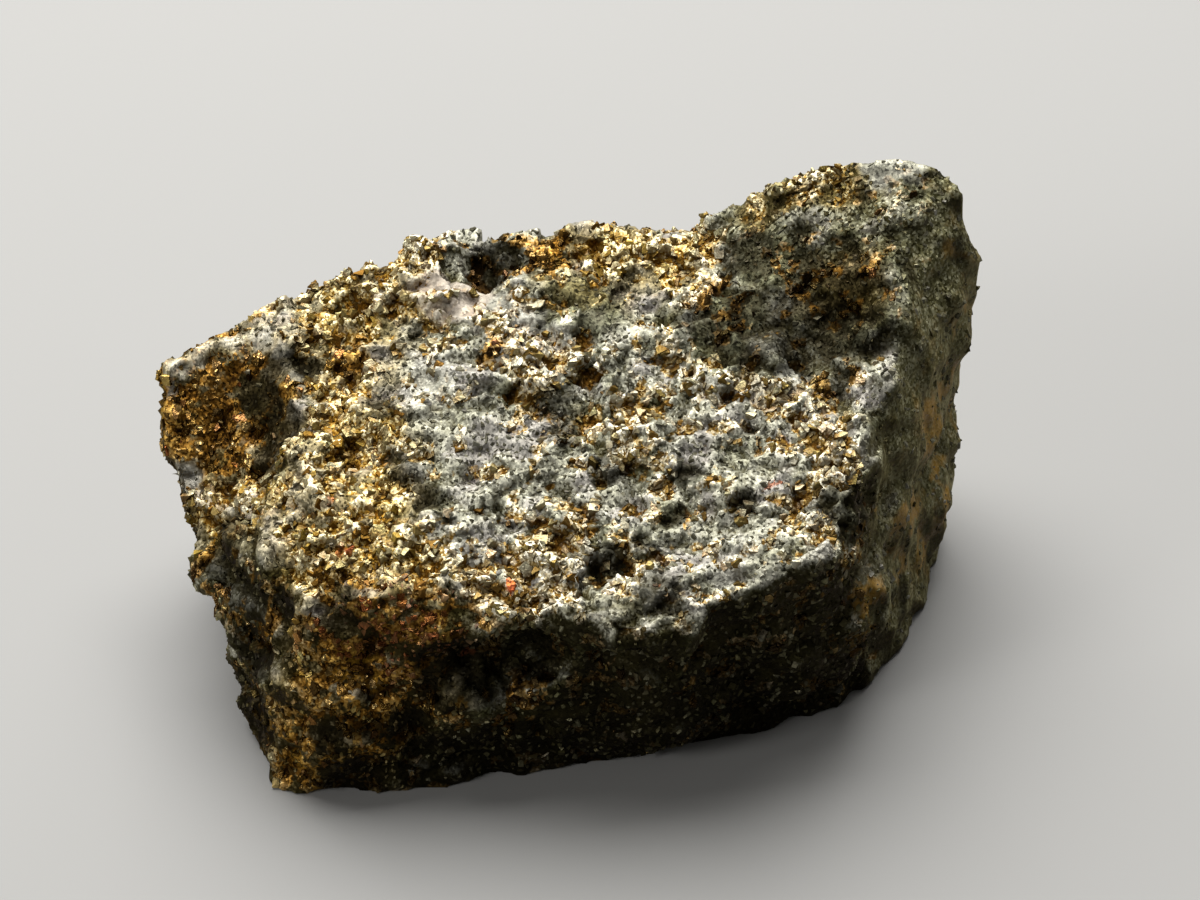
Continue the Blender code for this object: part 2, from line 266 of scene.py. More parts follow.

# The marks on the skin that its relief, its grains and their materials read. Painted shade
# makes the front and the hollows darkest and the sides duller than the top, over partly dark
# ore, and pyrite is thin on the right side.
pyrite_patch = patches(PYRITE, 0.6)
brown_patch = patches(TARNISHED, 0.6)
grey_patch = patches(MAGNETITE, 0.5)
dusky = patches(DUSKY, 0.8)
# Painted shade: the front and its lower part are darkened by facing and height, with the listed hollows.
dark = np.maximum(patches(DARK, 0.6), (0.7 + 0.3 * low) * front)
dark = np.maximum(dark, 0.35 * patches(CHLORITE, 0.8))
dark = np.maximum(dark, 0.4 * dusky)
dark += (0.4 * speckle * (1.0 - grey_patch) * (1.0 - 0.7 * right_side)
         + horn * (0.08 + 1.1 * tinting))
dark = np.clip(dark, 0.0, 1.0)

loose_veins = rise(veining, 0.0, 0.25) * (1.0 - right_side) * (1.0 - 0.5 * horn)
pyrite = np.maximum(pyrite_patch, 0.85 * brown_patch)
pyrite = np.maximum(pyrite, 0.8 * loose_veins)
pyrite *= (1.0 - 0.45 * grey_patch) * (1.0 - 0.6 * dark)
pyrite = np.maximum(pyrite, (0.15 + 0.15 * horn) * (1.0 - right_side)) - 0.08
pyrite = 0.5 + 1.7 * (pyrite + (1.0 - 0.6 * scoop) * speckle - 0.5)
pyrite = np.clip(pyrite * (1.0 - 0.7 * right_side), 0.03, 1.0)

tarnish = np.maximum(0.75 * (1.0 - top), 0.6 * back) + 0.35 * staining
tarnish = np.clip(np.maximum(brown_patch, tarnish), 0.0, 1.0)
tarnish = np.where(pyrite_patch > brown_patch, 0.35 * tarnish, tarnish)
tarnish = np.maximum(tarnish, 0.6 * horn * (1.0 - pyrite_patch))

# Painted light and shade: the grey is brighter on the top and duller on the sides, by facing.
silver = np.maximum(grey_patch, 0.45 + 0.5 * staining) * (1.0 - 0.85 * dark)
silver = np.clip(silver, 0.0, 1.0) * (1.0 - 0.6 * right_side) * (0.5 + 0.5 * top)
silver = silver - 1.3 * (1.0 - top) * (1.0 - right_side)
silver = np.where(silver > 0.0, silver * (1.0 - 0.4 * horn) * (1.0 - 0.8 * back), silver)

golden = 0.8 * patches(GOLDEN, 0.9) + 0.3 * speckle + 0.35 * tinting - 0.3 * grey_patch
green = 0.1 + 1.1 * tinting * (1.0 - 0.6 * silver) + 0.45 * (1.0 - top) + 0.25 * horn
green = np.maximum(0.8 * patches(CHLORITE, 0.6), green)
rust = np.maximum(patches(OCHRE, 1.6), 0.16 * right_side) * (0.8 + 1.8 * speckle + 0.8 * tinting)
rough = (0.7 + 0.3 * pyrite_patch) * (1.0 - 0.9 * right_side) * (0.5 + 0.5 * top)

# Silver is how grey the magnetite is: higher on the top, and below 0 on the sides but the right,
# where painted shade dulls it. Golden, green and lilac are tints. Chlorite is the streaked face
# of the split side, side is where grit sits, and rough is how much of the relief stands.
marks = {
    "pyrite": pyrite,
    "tarnish": tarnish,
    "golden": np.clip(golden, 0.0, 1.0),
    "silver": silver,
    "light": patches(LIGHT, 0.8),
    "dark": dark,
    "gangue": patches(GANGUE, 0.5),
    "ochre": np.clip(rust, 0.0, 1.0),
    "film": np.maximum(patches(RED_FILM, 0.5), 0.3 * dusky),
    "chlorite": np.maximum(0.9 * right_side, 0.3 * horn),
    "green": np.clip(green, 0.0, 1.0),
    "lilac": np.clip(-0.05 - 1.2 * tinting, 0.0, 0.5) * np.clip(silver * 1.5, 0.0, 1.0),
    "side": np.maximum(1.0 - top, 0.9 * horn) * (1.0 - 0.95 * right_side),
    "rough": rough * (1.0 - 0.5 * scoop) * (1.0 - 0.5 * horn),
}


def mark_skin(mark, value):
    """Stores one mark on the skin of the lump, a number at each of its points."""
    layer = lump.data.attributes.new(mark, "FLOAT", "POINT")
    layer.data.foreach_set("value", value.astype(np.float32))


for mark, value in marks.items():
    mark_skin(mark, value)


def linear(colour):
    """An sRGB hex colour as the linear values that a node takes."""
    parts = [int(colour[i:i + 2], 16) / 255 for i in (1, 3, 5)]
    return [p / 12.92 if p <= 0.04045 else ((p + 0.055) / 1.055) ** 2.4 for p in parts] + [1.0]


def add_node(tree, kind, links, stops=(), **settings):
    """Adds one node.

    links maps its inputs each to a value, a hex colour or another socket, settings are its own,
    and stops are the (place, hex colour) pairs of a colour ramp.
    """
    made = tree.nodes.new(kind)
    for name, value in settings.items():
        setattr(made, name, value)
    for name, value in links.items():
        if isinstance(value, bpy.types.NodeSocket):
            tree.links.new(value, made.inputs[name])
        elif isinstance(value, str) and value.startswith("#"):
            made.inputs[name].default_value = linear(value)
        else:
            made.inputs[name].default_value = value
    for number, (place, colour) in enumerate(stops):
        ramp = made.color_ramp.elements
        stop = ramp[number] if number < 2 else ramp.new(place)
        stop.position = place
        stop.color = linear(colour)
    return made


# The break stands up in blocks, each a flat face at its own tilt and level as the ore parted
# along grain faces, with dark cracks between the larger lumps. The right side split along one
# plane and is nearly smooth.
SHAKE = (1.4, 1.0)  # how the lines between blocks waver: size of a wave and its throw, in mm
BLOCKS = [(2.6, 0.20, 0.30), (1.3, 0.20, 0.20), (0.75, 0.18, 0.07)]  # mm across, slope, step in mm
LUMPS = (2.1, 0.17)  # mm across, swell in mm
PYRITE_LUMPS = (0.95, 0.15)
CRACKS = (2.9, 0.4, 0.3)  # apart, width and depth, in mm
relief = bpy.data.node_groups.new("broken_relief", "GeometryNodeTree")
relief.interface.new_socket("Geometry", in_out="INPUT", socket_type="NodeSocketGeometry")
relief.interface.new_socket("Geometry", in_out="OUTPUT", socket_type="NodeSocketGeometry")
source = relief.nodes.new("NodeGroupInput").outputs[0]
spot = add_node(relief, "GeometryNodeInputPosition", {}).outputs[0]
outwards = add_node(relief, "GeometryNodeInputNormal", {}).outputs[0]
wave, throw = SHAKE
wander = add_node(relief, "ShaderNodeTexNoise",
                  {"Vector": spot, "Scale": 1 / (wave * MM), "Detail": 2.0})
wander = add_node(relief, "ShaderNodeVectorMath",
                  {0: wander.outputs["Color"], 1: (0.5, 0.5, 0.5)}, operation="SUBTRACT")
spot = add_node(relief, "ShaderNodeVectorMath",
                {0: wander.outputs[0], 1: (throw * MM, throw * MM, throw * MM), 2: spot},
                operation="MULTIPLY_ADD").outputs[0]
height = None
for size, slope, step in BLOCKS:
    block = add_node(relief, "ShaderNodeTexVoronoi", {"Vector": spot, "Scale": 1 / (size * MM)})
    tilt = add_node(relief, "ShaderNodeVectorMath",
                    {0: block.outputs["Color"], 1: (0.5, 0.5, 0.5)}, operation="SUBTRACT")
    from_middle = add_node(relief, "ShaderNodeVectorMath",
                           {0: spot, 1: block.outputs["Position"]}, operation="SUBTRACT")
    rise_here = add_node(relief, "ShaderNodeVectorMath",
                         {0: tilt.outputs[0], 1: from_middle.outputs[0]}, operation="DOT_PRODUCT")
    level = add_node(relief, "ShaderNodeVectorMath",
                     {0: tilt.outputs[0], 1: (0.3, 1.0, -0.4)}, operation="DOT_PRODUCT")
    part = add_node(relief, "ShaderNodeMath",
                    {0: rise_here.outputs["Value"], 1: 2.0 * slope}, operation="MULTIPLY")
    part = add_node(relief, "ShaderNodeMath",
                    {0: level.outputs["Value"], 1: step * MM, 2: part.outputs[0]},
                    operation="MULTIPLY_ADD").outputs[0]
    if height is None:
        height = part
    else:
        height = add_node(relief, "ShaderNodeMath", {0: height, 1: part}, operation="ADD").outputs[0]
where_pyrite = add_node(relief, "GeometryNodeInputNamedAttribute", {"Name": "pyrite"},
                        data_type="FLOAT").outputs["Attribute"]
for (size, swell), share in [(LUMPS, 1.0), (PYRITE_LUMPS, where_pyrite)]:
    lumps = add_node(relief, "ShaderNodeTexVoronoi", {"Vector": spot, "Scale": 1 / (size * MM)})
    lumps = add_node(relief, "ShaderNodeMapRange",
                     {"Value": lumps.outputs["Distance"], "From Min": 0.1, "From Max": 0.65,
                      "To Min": swell * MM, "To Max": -swell * MM}, interpolation_type="SMOOTHSTEP")
    height = add_node(relief, "ShaderNodeMath", {0: lumps.outputs["Result"], 1: share, 2: height},
                      operation="MULTIPLY_ADD").outputs[0]
size, width, depth = CRACKS
crack = add_node(relief, "ShaderNodeTexVoronoi", {"Vector": spot, "Scale": 1 / (size * MM)},
                 feature="DISTANCE_TO_EDGE")
crack = add_node(relief, "ShaderNodeMapRange",
                 {"Value": crack.outputs["Distance"], "From Max": width / size,
                  "To Min": -depth * MM, "To Max": 0.0})
height = add_node(relief, "ShaderNodeMath", {0: height, 1: crack.outputs["Result"]},
                  operation="ADD").outputs[0]
where_rough = add_node(relief, "GeometryNodeInputNamedAttribute", {"Name": "rough"},
                       data_type="FLOAT").outputs["Attribute"]
height = add_node(relief, "ShaderNodeMath", {0: height, 1: where_rough}, operation="MULTIPLY")
lift = add_node(relief, "ShaderNodeVectorMath", {0: outwards, "Scale": height.outputs[0]},
                operation="SCALE")
raised_skin = add_node(relief, "GeometryNodeSetPosition",
                       {"Geometry": source, "Offset": lift.outputs[0]})
add_node(relief, "NodeGroupOutput", {"Geometry": raised_skin.outputs[0]})
modify(lump, "NODES", node_group=relief)
bpy.ops.object.shade_smooth()

# The foot that the lump rests on stays flat, and nothing else comes down to the table.
FOOT_HEIGHT = 0.35 * MM
CLEAR_OF_TABLE = 0.05 * MM
spots = np.empty(len(skin) * 3, np.float32)
lump.data.vertices.foreach_get("co", spots)
spots = spots.reshape(-1, 3)
resting = skin[:, 2] < FOOT_HEIGHT
spots[resting] = skin[resting]
table = cad_box[0][2]
spots[:, 2] = np.maximum(spots[:, 2], np.where(resting, table, table + CLEAR_OF_TABLE))
lump.data.vertices.foreach_set("co", spots.reshape(-1))
lump.data.update()

# How far each point stands out of the skin around it, smoothed over so many rounds: raised over
# a grain or two, crest over a lump. Half is level, and the span is what takes it to 1, in mm.
# The colours read these marks as painted shade in the hollows and painted light on the crests.
STANDING_OUT = [("raised", 14, 0.7), ("crest", 46, 1.1)]
lump.data.vertex_normals.foreach_get("vector", facing.reshape(-1))
edges = np.empty(len(lump.data.edges) * 2, np.int32)
lump.data.edges.foreach_get("vertices", edges)
edges = edges.reshape(-1, 2)
around = np.bincount(edges.reshape(-1), minlength=len(spots))[:, None]
smooth = spots / MM
for mark, rounds, span in STANDING_OUT:
    for _ in range(rounds):
        total = np.stack([
            np.bincount(edges[:, 0], smooth[edges[:, 1], axis], len(smooth))
            + np.bincount(edges[:, 1], smooth[edges[:, 0], axis], len(smooth))
            for axis in range(3)
        ], 1)
        smooth = 0.3 * smooth + 0.7 * total / around
    out = np.einsum("ij,ij->i", facing, spots / MM - smooth) / span
    mark_skin(mark, np.clip(0.5 + out * (1.0 - 0.5 * back), 0.0, 1.0))


# Magnetite ore on a fresh break: iron-black grains about 0.15 mm across, each a flat face turned
# its own way, so the grey sparkles finely. Painted shade makes the hollows green-black and the
# pyrite brown in its cracks, and old iron has stained the right side with ochre.
ORE_GRAIN = 0.15
ORE_CLUSTER = 0.5
CLOUD = 0.7
STREAK = 0.3
STREAK_DRAG = (1.0, 1.0, 0.09)  # the streaks on the split side run down it, some ten times as long
GRAIN_TILT = 0.65
CLUSTER_TILT = 0.2
ORE_MARKS = ("pyrite", "tarnish", "golden", "silver", "light", "dark", "gangue", "ochre", "film",
             "chlorite", "green", "lilac", "raised", "crest")
ore = bpy.data.materials.new("magnetite_ore_broken_face")
ore.use_nodes = True
tree = ore.node_tree
shader = tree.nodes["Principled BSDF"]
where = add_node(tree, "ShaderNodeTexCoord", {}).outputs["Object"]
mark_of = {
    mark: add_node(tree, "ShaderNodeAttribute", {}, attribute_name=mark).outputs["Fac"]
    for mark in ORE_MARKS
}
fine_grains = add_node(tree, "ShaderNodeTexVoronoi", {"Vector": where, "Scale": 1 / (ORE_GRAIN * MM)})
coarse_grains = add_node(tree, "ShaderNodeTexVoronoi",
                         {"Vector": where, "Scale": 1 / (ORE_CLUSTER * MM)})
fine_random = add_node(tree, "ShaderNodeSeparateColor", {"Color": fine_grains.outputs["Color"]})
coarse_random = add_node(tree, "ShaderNodeSeparateColor", {"Color": coarse_grains.outputs["Color"]})
clouding = add_node(tree, "ShaderNodeTexNoise",
                    {"Vector": where, "Scale": 1 / (CLOUD * MM), "Detail": 3.0, "Roughness": 0.7}
                    ).outputs["Fac"]

# How bright each place is: painted shade darkens the hollows between grains and painted light
# brightens the crests, over the ore's own random tone.
level = add_node(tree, "ShaderNodeMath", {0: mark_of["raised"], 1: clouding}, operation="ADD")
level = add_node(tree, "ShaderNodeMath", {0: fine_random.outputs["Blue"], 1: 0.55, 2: level.outputs[0]},
                 operation="MULTIPLY_ADD")
level = add_node(tree, "ShaderNodeMath", {0: mark_of["crest"], 1: 0.5, 2: level.outputs[0]},
                 operation="MULTIPLY_ADD")
level = add_node(tree, "ShaderNodeMath", {0: level.outputs[0], 1: 0.39}, operation="SUBTRACT")
level = add_node(tree, "ShaderNodeMath", {0: level.outputs[0], 1: 0.5}, operation="MULTIPLY").outputs[0]
grey_level = add_node(tree, "ShaderNodeMath", {0: mark_of["silver"], 1: 0.28, 2: level},
                      operation="MULTIPLY_ADD").outputs[0]

# The magnetite ground, from green-black to iron-grey, with the split side and golden stains.
iron = add_node(tree, "ShaderNodeValToRGB", {"Fac": grey_level},
                [(0.36, "#282410"), (0.92, "#949284"), (0.52, "#433f2c"), (0.68, "#676557")]
                ).outputs["Color"]
iron = add_node(tree, "ShaderNodeMix", {"Factor": mark_of["lilac"], "A": iron, "B": "#6f696a"},
                data_type="RGBA").outputs["Result"]
greened = add_node(tree, "ShaderNodeMix", {"Factor": 1.0, "A": iron, "B": "#a6ab88"},
                   data_type="RGBA", blend_type="MULTIPLY").outputs["Result"]
iron = add_node(tree, "ShaderNodeMix", {"Factor": mark_of["green"], "A": iron, "B": greened},
                data_type="RGBA").outputs["Result"]
dragged = add_node(tree, "ShaderNodeVectorMath", {0: where, 1: STREAK_DRAG}, operation="MULTIPLY")
streaks = add_node(tree, "ShaderNodeTexNoise",
                   {"Vector": dragged.outputs[0], "Scale": 1 / (STREAK * MM), "Detail": 3.0})
side_level = add_node(tree, "ShaderNodeMath", {0: streaks.outputs["Fac"], 1: clouding},
                      operation="ADD").outputs[0]
side_level = add_node(tree, "ShaderNodeMath",
                      {0: fine_random.outputs["Blue"], 1: 0.65, 2: side_level},
                      operation="MULTIPLY_ADD").outputs[0]
side_level = add_node(tree, "ShaderNodeMath", {0: side_level, 1: 0.5}, operation="MULTIPLY").outputs[0]
split_side = add_node(tree, "ShaderNodeValToRGB", {"Fac": side_level},
                      [(0.48, "#333219"), (0.86, "#8f8d72"), (0.66, "#605d3f")]).outputs["Color"]
iron = add_node(tree, "ShaderNodeMix", {"Factor": mark_of["chlorite"], "A": iron, "B": split_side},
                data_type="RGBA").outputs["Result"]
stained = add_node(tree, "ShaderNodeMix", {"Factor": 1.0, "A": iron, "B": "#ffde9c"},
                   data_type="RGBA", blend_type="MULTIPLY").outputs["Result"]
iron = add_node(tree, "ShaderNodeMix", {"Factor": mark_of["golden"], "A": iron, "B": stained},
                data_type="RGBA").outputs["Result"]

# The pyrite, pale or golden, fresh or gone brown, and how much of it shows in the ground.
pale_brass = add_node(tree, "ShaderNodeValToRGB", {"Fac": level},
                      [(0.36, "#4c330f"), (0.8, "#c5c0ae"), (0.48, "#765d2b"), (0.62, "#a39778")]
                      ).outputs["Color"]
golden_brass = add_node(tree, "ShaderNodeValToRGB", {"Fac": level},
                        [(0.36, "#4d3108"), (0.8, "#cabf98"), (0.48, "#7b5b1c"), (0.62, "#a6925d")]
                        ).outputs["Color"]
pale_brown = add_node(tree, "ShaderNodeValToRGB", {"Fac": level},
                      [(0.36, "#261a0b"), (0.84, "#b3945c"), (0.5, "#523a16"), (0.65, "#7d5c2a")]
                      ).outputs["Color"]
golden_brown = add_node(tree, "ShaderNodeValToRGB", {"Fac": level},
                        [(0.36, "#2a1805"), (0.84, "#b59046"), (0.5, "#52360f"), (0.65, "#805a20")]
                        ).outputs["Color"]
brass = add_node(tree, "ShaderNodeMix",
                 {"Factor": mark_of["golden"], "A": pale_brass, "B": golden_brass},
                 data_type="RGBA").outputs["Result"]
brown_brass = add_node(tree, "ShaderNodeMix",
                       {"Factor": mark_of["golden"], "A": pale_brown, "B": golden_brown},
                       data_type="RGBA").outputs["Result"]
brass = add_node(tree, "ShaderNodeMix", {"Factor": mark_of["tarnish"], "A": brass, "B": brown_brass},
                 data_type="RGBA").outputs["Result"]
brass_share = add_node(tree, "ShaderNodeMath",
                       {0: coarse_random.outputs["Red"], 1: 0.6, 2: mark_of["pyrite"]},
                       operation="MULTIPLY_ADD").outputs[0]
brass_share = add_node(tree, "ShaderNodeMath", {0: clouding, 1: 0.8, 2: brass_share},
                       operation="MULTIPLY_ADD").outputs[0]
brass_share = add_node(tree, "ShaderNodeMapRange",
                       {"Value": brass_share, "From Min": 1.12, "From Max": 1.38}).outputs["Result"]
colour = add_node(tree, "ShaderNodeMix", {"Factor": brass_share, "A": iron, "B": brass},
                  data_type="RGBA").outputs["Result"]

# What lies over both, as (mark, colour, where it starts, where it is full, the most it covers):
# pale rims, partly painted highlight, quartz, rust and red film. Then painted shade darkens the
# hollows, the place under the lip and the front.
COVERS = [
    ("light", "#a3a196", 0.9, 1.5, 0.5),
    ("gangue", "#a1968a", 0.95, 1.5, 0.65),
    ("ochre", "#98711f", 0.7, 1.8, 0.9),
    ("film", "#b5653a", 0.9, 1.4, 0.6),
]
covered = {}
for mark, tint, start, full, most in COVERS:
    share = add_node(tree, "ShaderNodeMath", {0: mark_of[mark], 1: clouding}, operation="ADD")
    share = add_node(tree, "ShaderNodeMapRange",
                     {"Value": share.outputs[0], "From Min": start, "From Max": full, "To Max": most})
    covered[mark] = share.outputs["Result"]
    colour = add_node(tree, "ShaderNodeMix", {"Factor": covered[mark], "A": colour, "B": tint},
                      data_type="RGBA").outputs["Result"]
# Painted shade: the dark mark darkens the colour.
shade = add_node(tree, "ShaderNodeMapRange",
                 {"Value": mark_of["dark"], "From Min": 0.1, "From Max": 1.0,
                  "To Min": 1.0, "To Max": 0.2}).outputs["Result"]
colour = add_node(tree, "ShaderNodeMix", {"Factor": 1.0, "A": colour, "B": shade}, data_type="RGBA",
                  blend_type="MULTIPLY").outputs["Result"]
tree.links.new(colour, shader.inputs["Base Color"])

# Pyrite and magnetite have a metal's shine, quartz and rust have none, and each grain has its own.
stone_share = add_node(tree, "ShaderNodeMath", {0: covered["gangue"], 1: covered["ochre"]},
                       operation="MAXIMUM").outputs[0]
metal_share = add_node(tree, "ShaderNodeMapRange",
                       {"Value": brass_share, "To Min": 0.6, "To Max": 0.9}).outputs["Result"]
metal_share = add_node(tree, "ShaderNodeMapRange",
                       {"Value": stone_share, "To Min": metal_share, "To Max": 0.0}).outputs["Result"]
tree.links.new(metal_share, shader.inputs["Metallic"])
dull = add_node(tree, "ShaderNodeMapRange",
                {"Value": fine_random.outputs["Green"], "To Min": 0.38, "To Max": 0.7})
tree.links.new(dull.outputs["Result"], shader.inputs["Roughness"])
shader.inputs["Specular IOR Level"].default_value = 0.3
shader.inputs["Specular Tint"].default_value = linear("#d2c08e")
turned = add_node(tree, "ShaderNodeNewGeometry", {}).outputs["Normal"]
for grains, amount in ((fine_grains, GRAIN_TILT), (coarse_grains, CLUSTER_TILT)):
    tilt = add_node(tree, "ShaderNodeVectorMath", {0: grains.outputs["Color"], 1: (0.5, 0.5, 0.5)},
                    operation="SUBTRACT").outputs[0]
    turned = add_node(tree, "ShaderNodeVectorMath", {0: tilt, 1: (amount, amount, amount), 2: turned},
                      operation="MULTIPLY_ADD").outputs[0]
turned = add_node(tree, "ShaderNodeVectorMath", {0: turned}, operation="NORMALIZE").outputs[0]
tree.links.new(turned, shader.inputs["Normal"])
lump.data.materials.append(ore)
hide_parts("pyrite_magnetite_lump")
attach(lump, "root")

# Grains of pyrite and magnetite standing out of the break: small crystals of each mineral held
# in the ore, broken across, none whole. Six broken shapes are modelled once, and each kind of
# grain is set over the skin where its mineral lies, turned every way and sunk into it.
# Each crystal is (length, width, how many times it is broken across), before it is sized.
CRYSTALS = [(1.1, 0.9, 5), (1.2, 0.85, 6), (1.0, 1.0, 6), (1.3, 0.8, 5), (1.1, 0.8, 6), (1.0, 0.95, 5)]
CRYSTAL_HEIGHT = 0.85
CRYSTAL_REACH = 0.62  # from its middle, as a share of its size
TABLE_GAP = 0.1
CROWDING = 1.6  # how many are tried in each square as wide as the spacing
crystal_shapes = bpy.data.collections.new("broken_crystals")
bpy.context.scene.collection.children.link(crystal_shapes)
chance = random.Random(SEED)
for number, (length, width, cuts) in enumerate(CRYSTALS):
    bpy.ops.object.select_all(action="DESELECT")
    bpy.ops.mesh.primitive_cube_add(size=1.0)
    crystal = bpy.context.object
    crystal.name = f"broken_crystal_{number}"
    crystal.scale = (length, width, CRYSTAL_HEIGHT)
    bpy.ops.object.transform_apply(location=False, rotation=False, scale=True)
    bpy.ops.object.mode_set(mode="EDIT")
    for _ in range(cuts):
        bpy.ops.mesh.select_all(action="SELECT")
        direction = Vector([chance.uniform(-1, 1) for _ in range(3)]).normalized()
        bpy.ops.mesh.bisect(plane_co=direction * chance.uniform(0.28, 0.42), plane_no=direction,
                            use_fill=True, clear_outer=True)
    bpy.ops.object.mode_set(mode="OBJECT")
    crystal.data.materials.clear()
    for owner in crystal.users_collection:
        owner.objects.unlink(crystal)
    crystal_shapes.objects.link(crystal)


def lay_out_grains(mesh, largest):
    """Marks how far each corner stands out of the skin, as "stand", and lays out the mesh's map.

    On the map that an export bakes, each grain has one square of its own and runs up it by that
    height. largest is the size of the largest grain, in mm.
    """
    at = {}
    for name, width in (("number", 1), ("root", 3), ("outwards", 3), ("position", 3)):
        values = np.empty(len(mesh.vertices) * width, np.float32)
        mesh.attributes[name].data.foreach_get("value" if width == 1 else "vector", values)
        at[name] = values.reshape(-1, width)
    stand = np.einsum("ij,ij->i", at["position"] - at["root"], at["outwards"]) / (largest * MM)
    mesh.attributes.new("stand", "FLOAT", "POINT").data.foreach_set("value", stand.astype(np.float32))
    corner = np.empty(len(mesh.loops), np.int32)
    mesh.loops.foreach_get("vertex_index", corner)
    grain = at["number"][corner, 0].astype(int)
    across = math.ceil(math.sqrt(grain.max() + 1))
    sideways = np.array([0.2, 0.8, 0.45])[np.arange(len(corner)) % 3]
    upwards = np.clip(0.4 + stand[corner], 0.1, 0.9)
    laid_out = np.stack([grain % across + sideways, grain // across + upwards], 1) / across
    layer = mesh.uv_layers.new(name="OFBake")
    layer.uv.foreach_set("vector", laid_out.astype(np.float32).reshape(-1))
    for name in ("number", "root", "outwards"):
        mesh.attributes.remove(mesh.attributes[name])


def scatter(name, spacing, share, size, sink, seed):
    """Sets broken crystals over the lump as one mesh.

    spacing is the least distance between two and size their range, in mm. share maps marks of
    the skin to the range of their values over which the grains come in. sink is how deep they
    sit, as a share of size.
    """
    smallest, largest = size
    setting = bpy.data.node_groups.new(name + "_setting", "GeometryNodeTree")
    setting.interface.new_socket("Geometry", in_out="OUTPUT", socket_type="NodeSocketGeometry")
    broken_skin = add_node(setting, "GeometryNodeObjectInfo", {"Object": lump}).outputs["Geometry"]
    density = None
    for mark, (start, end) in share.items():
        value = add_node(setting, "GeometryNodeInputNamedAttribute", {"Name": mark}, data_type="FLOAT")
        part = add_node(setting, "ShaderNodeMapRange",
                        {"Value": value.outputs["Attribute"], "From Min": start, "From Max": end})
        if density is None:
            density = part.outputs["Result"]
        else:
            density = add_node(setting, "ShaderNodeMath", {0: density, 1: part.outputs["Result"]},
                               operation="MULTIPLY").outputs[0]
    points = add_node(setting, "GeometryNodeDistributePointsOnFaces",
                      {"Mesh": broken_skin, "Distance Min": spacing * MM,
                       "Density Max": CROWDING / (spacing * MM) ** 2, "Density Factor": density,
                       "Seed": seed}, distribute_method="POISSON")
    height = add_node(setting, "ShaderNodeSeparateXYZ",
                      {"Vector": add_node(setting, "GeometryNodeInputPosition", {}).outputs[0]})
    too_low = add_node(setting, "FunctionNodeCompare",
                       {"A": height.outputs["Z"],
                        "B": (TABLE_GAP + CRYSTAL_REACH * largest) * MM},
                       data_type="FLOAT", operation="LESS_THAN")
    kept = add_node(setting, "GeometryNodeDeleteGeometry",
                    {"Geometry": points.outputs["Points"], "Selection": too_low.outputs["Result"]},
                    domain="POINT")
    scale = add_node(setting, "FunctionNodeRandomValue",
                     {"Min": smallest * MM, "Max": largest * MM, "Seed": seed + 1}, data_type="FLOAT")
    turn = add_node(setting, "FunctionNodeRandomValue",
                    {"Max": (math.tau, math.tau, math.tau), "Seed": seed + 2},
                    data_type="FLOAT_VECTOR")
    depth = add_node(setting, "ShaderNodeMath", {0: scale.outputs[1], 1: -sink}, operation="MULTIPLY")
    inwards = add_node(setting, "ShaderNodeVectorMath",
                       {0: points.outputs["Normal"], "Scale": depth.outputs[0]}, operation="SCALE")
    spot = add_node(setting, "GeometryNodeInputPosition", {}).outputs[0]
    rooted = add_node(setting, "GeometryNodeStoreNamedAttribute",
                      {"Geometry": kept.outputs[0], "Name": "root", "Value": spot},
                      data_type="FLOAT_VECTOR", domain="POINT")
    rooted = add_node(setting, "GeometryNodeStoreNamedAttribute",
                      {"Geometry": rooted.outputs[0], "Name": "outwards",
                       "Value": points.outputs["Normal"]},
                      data_type="FLOAT_VECTOR", domain="POINT")
    sunk = add_node(setting, "GeometryNodeSetPosition",
                    {"Geometry": rooted.outputs[0], "Offset": inwards.outputs[0]})
    shapes = add_node(setting, "GeometryNodeCollectionInfo",
                      {"Collection": crystal_shapes, "Separate Children": True,
                       "Reset Children": True})
    grains = add_node(setting, "GeometryNodeInstanceOnPoints",
                      {"Points": sunk.outputs[0], "Instance": shapes.outputs[0],
                       "Pick Instance": True, "Rotation": turn.outputs["Value"],
                       "Scale": scale.outputs[1]})
    tone = add_node(setting, "FunctionNodeRandomValue", {"Seed": seed + 3}, data_type="FLOAT")
    toned = add_node(setting, "GeometryNodeStoreNamedAttribute",
                     {"Geometry": grains.outputs[0], "Name": "tone", "Value": tone.outputs[1]},
                     data_type="FLOAT", domain="INSTANCE")
    number = add_node(setting, "GeometryNodeInputIndex", {})
    numbered = add_node(setting, "GeometryNodeStoreNamedAttribute",
                        {"Geometry": toned.outputs[0], "Name": "number", "Value": number.outputs[0]},
                        data_type="FLOAT", domain="INSTANCE")
    joined = add_node(setting, "GeometryNodeRealizeInstances", {"Geometry": numbered.outputs[0]})
    add_node(setting, "NodeGroupOutput", {"Geometry": joined.outputs[0]})

    bpy.ops.object.select_all(action="DESELECT")
    piece = bpy.data.objects.new(name, bpy.data.meshes.new(name))
    bpy.context.scene.collection.objects.link(piece)
    piece.select_set(True)
    bpy.context.view_layer.objects.active = piece
    modify(piece, "NODES", node_group=setting)
    bpy.data.node_groups.remove(setting)
    piece.data.materials.clear()
    lay_out_grains(piece.data, largest)
    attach(piece, "root")
    return piece


